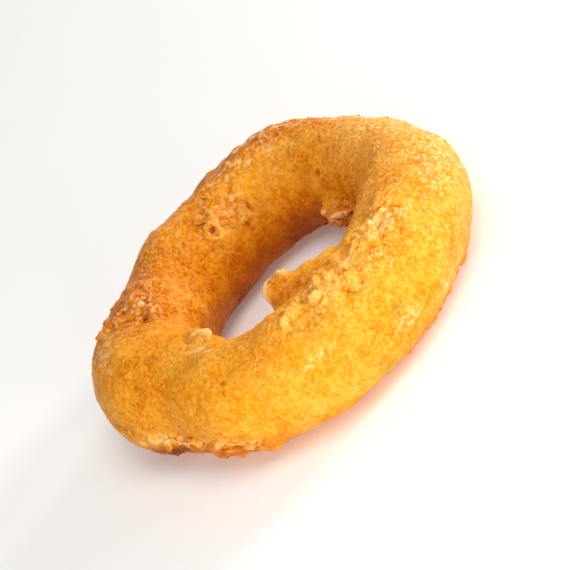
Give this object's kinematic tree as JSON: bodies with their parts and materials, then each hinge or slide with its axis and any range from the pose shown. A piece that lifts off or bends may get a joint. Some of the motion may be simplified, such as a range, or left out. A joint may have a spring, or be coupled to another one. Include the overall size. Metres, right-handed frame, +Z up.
{
  "type": "battered onion ring",
  "caption": "Whole deep-fried onion ring in a thick, craggy golden batter, lying flat, with an open hole through its middle.",
  "frame": {"origin": "on the surface that the ring rests on, under the middle of the ring", "axes": "+Z up through the hole, +X along the ring's longer axis, -Y the side that is nearest in the main view"},
  "size_m": [0.0728, 0.0716, 0.0201],
  "materials": {
    "fried_batter": "golden fried batter crust, uneven, a little oily"
  },
  "bodies": {
    "root": {"onion_ring": "fried_batter"}
  },
  "joints": []
}
